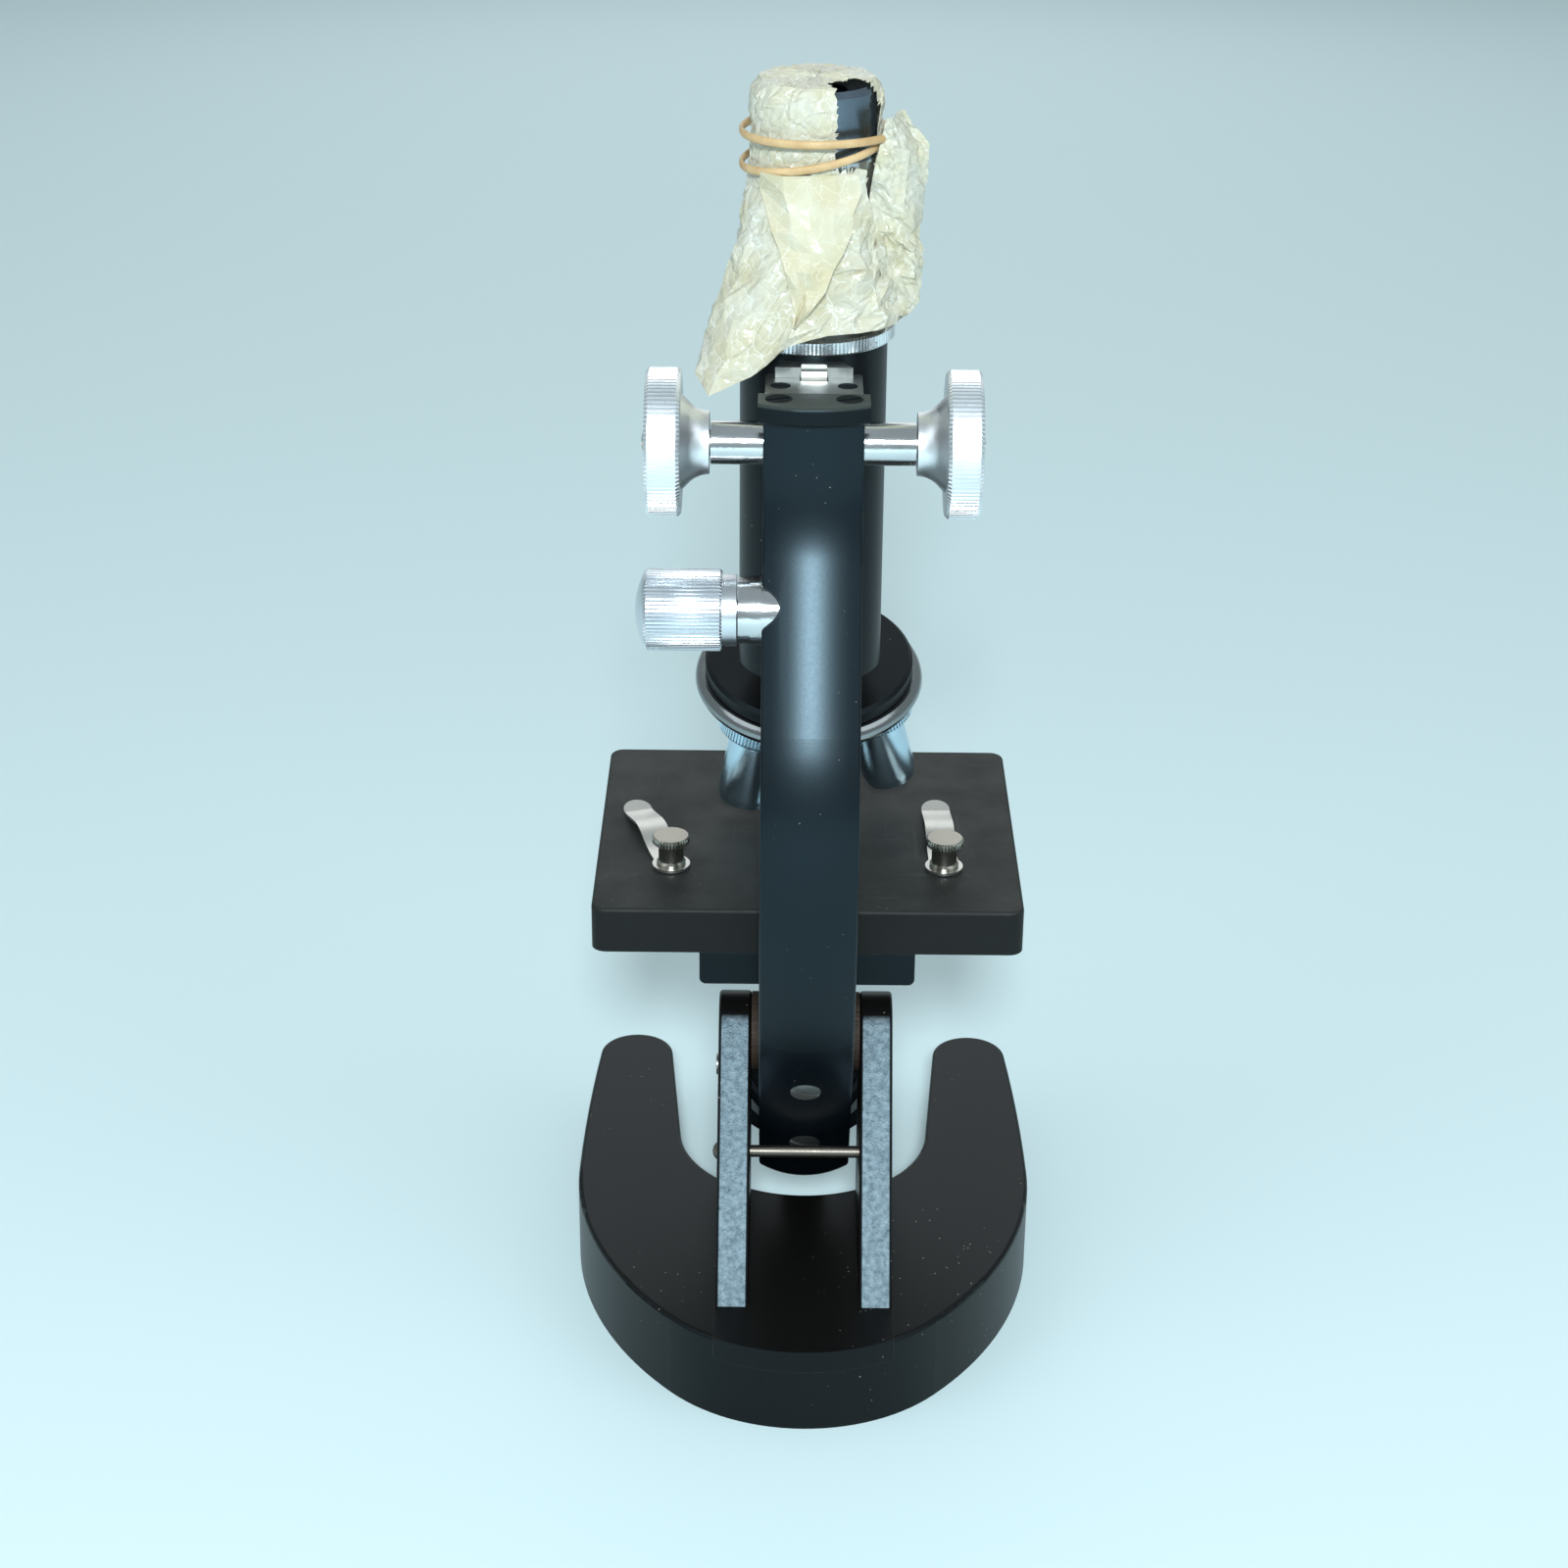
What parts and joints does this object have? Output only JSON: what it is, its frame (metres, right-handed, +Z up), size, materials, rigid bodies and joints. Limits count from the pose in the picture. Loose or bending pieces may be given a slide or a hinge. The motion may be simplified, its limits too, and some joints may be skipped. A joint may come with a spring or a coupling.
{
  "type": "compound microscope",
  "caption": "Upright compound microscope with a horseshoe base, inclining arm, rack focus, revolving nosepiece, square stage, mirror and a film-wrapped eyepiece.",
  "frame": {"origin": "middle of the base's footprint, on the table", "axes": "+Z up, +Y from the arm to the open end of the horseshoe, +X to the right of someone who faces the arm"},
  "size_m": [0.102, 0.13, 0.2656],
  "materials": {
    "base_paint": "satin black enamel, slightly brown",
    "cast_paint": "paint over a rough casting",
    "arm_paint": "satin blue-black enamel",
    "stage_paint": "matte charcoal, rubbed",
    "tube_black": "satin black",
    "chrome": "bright plated",
    "nickel": "plated, slightly warm",
    "steel": "plain steel",
    "brass": "cut brass",
    "fibre": "brown fibre",
    "lens_glass": "polished",
    "mirror_glass": "silvered",
    "film": "clear film, yellowed and crumpled",
    "band_rubber": "tan rubber"
  },
  "bodies": {
    "stand": {"horseshoe_base": "base_paint", "pillar": "cast_paint", "pillar_screws": "steel", "pivot_pin": "steel", "stop_pin": "steel"},
    "limb": {"arm": "arm_paint", "arm_cap": "arm_paint", "arm_cap_screws": "steel", "arm_foot_screws": "steel", "friction_washers": "fibre", "stage_bracket": "arm_paint", "bracket_screws": "steel", "stage_plate": "stage_paint", "stage_screws": "steel", "mirror_tailpiece": "arm_paint", "tail_screw": "steel", "fine_bush": "chrome"},
    "clip_left": {"stage_clip_left": "nickel"},
    "clip_right": {"stage_clip_right": "nickel"},
    "thumb_screw_left": {"clip_screw_left": "nickel"},
    "thumb_screw_right": {"clip_screw_right": "nickel"},
    "mirror_mount": {"mirror_fork": "arm_paint", "fork_nut": "steel", "mirror_pins": "steel"},
    "mirror": {"mirror_cell": "tube_black", "mirror_flat_glass": "mirror_glass", "mirror_concave_glass": "mirror_glass"},
    "fine_drive": {"fine_knob": "chrome", "fine_spindle": "steel", "fine_cam": "steel"},
    "focus_block": {"bearing_block": "nickel", "block_screws": "steel", "pinion_sleeve_left": "chrome", "pinion_sleeve_right": "chrome", "fine_lift_pin": "steel"},
    "coarse_drive": {"pinion_shaft": "steel", "coarse_knob_left": "chrome", "coarse_knob_right": "chrome", "coarse_knob_screws": "nickel"},
    "tube": {"body_tube": "tube_black", "tube_slide": "nickel", "focus_rack": "brass", "tube_ring": "chrome", "nosepiece_plate": "tube_black", "nosepiece_screw": "steel"},
    "turret": {"turret_shell": "chrome", "objective_left": "chrome", "objective_right": "chrome", "objective_short": "chrome", "objective_lenses": "lens_glass"},
    "inner_tube": {"draw_tube": "chrome"},
    "eyepiece": {"eyepiece_body": "tube_black", "eye_lens": "lens_glass", "field_lens": "lens_glass", "field_stop": "tube_black"},
    "wrap": {"eyepiece_wrap": "film", "rubber_band": "band_rubber"}
  },
  "joints": [
    {"name": "inclination", "type": "hinge", "parent": "stand", "child": "limb", "pos_m": [0, -0.006, 0.0622], "axis": [1, 0, 0], "range_deg": [0, 35]},
    {"name": "fine_knob_turn", "type": "hinge", "parent": "limb", "child": "fine_drive", "pos_m": [0, -0.0225, 0.168], "axis": [1, 0, 0], "range_deg": [-151, 151]},
    {"name": "fine_slide", "type": "slide", "parent": "limb", "child": "focus_block", "axis": [0, 0, 1], "range_m": [-0.0006, 0.0006]},
    {"name": "coarse_knob_turn", "type": "hinge", "parent": "focus_block", "child": "coarse_drive", "pos_m": [0, -0.0095, 0.1985], "axis": [1, 0, 0], "range_deg": [-16.6, 459]},
    {"name": "tube_slide_rise", "type": "slide", "parent": "focus_block", "child": "tube", "axis": [0, 0, 1], "range_m": [-0.001, 0.028]},
    {"name": "turret_turn", "type": "hinge", "parent": "tube", "child": "turret", "pos_m": [0, 0.0249, 0.1383], "axis": [0, -0.2588, 0.9659], "continuous": true},
    {"name": "draw_tube_slide", "type": "slide", "parent": "tube", "child": "inner_tube", "axis": [0, 0, 1], "range_m": [0, 0.035]},
    {"name": "eyepiece_lift", "type": "slide", "parent": "inner_tube", "child": "eyepiece", "axis": [0, 0, 1], "range_m": [0, 0.04]},
    {"name": "wrap_lift", "type": "slide", "parent": "eyepiece", "child": "wrap", "axis": [0, 0, 1], "range_m": [0, 0.06]},
    {"name": "clip_left_swing", "type": "hinge", "parent": "limb", "child": "clip_left", "pos_m": [-0.029, -0.0066, 0.1025], "axis": [0, 0, 1], "range_deg": [-27, 65]},
    {"name": "clip_right_swing", "type": "hinge", "parent": "limb", "child": "clip_right", "pos_m": [0.029, -0.0066, 0.1025], "axis": [0, 0, 1], "range_deg": [-65, 9]},
    {"name": "thumb_screw_left_turn", "type": "hinge", "parent": "limb", "child": "thumb_screw_left", "pos_m": [-0.029, -0.0066, 0.1025], "axis": [0, 0, 1], "continuous": true},
    {"name": "thumb_screw_right_turn", "type": "hinge", "parent": "limb", "child": "thumb_screw_right", "pos_m": [0.029, -0.0066, 0.1025], "axis": [0, 0, 1], "continuous": true},
    {"name": "mirror_swivel", "type": "hinge", "parent": "limb", "child": "mirror_mount", "pos_m": [0, 0.014, 0.0225], "axis": [0, 0, 1], "range_deg": [-25, 25]},
    {"name": "mirror_tilt", "type": "hinge", "parent": "mirror_mount", "child": "mirror", "pos_m": [0, 0.014, 0.0415], "axis": [1, 0, 0], "continuous": true}
  ],
  "couplings": [
    {"joint": "fine_knob_turn", "follows": "fine_slide", "rad_per_m": 4363.3},
    {"joint": "coarse_knob_turn", "follows": "tube_slide_rise", "rad_per_m": 285.71}
  ]
}
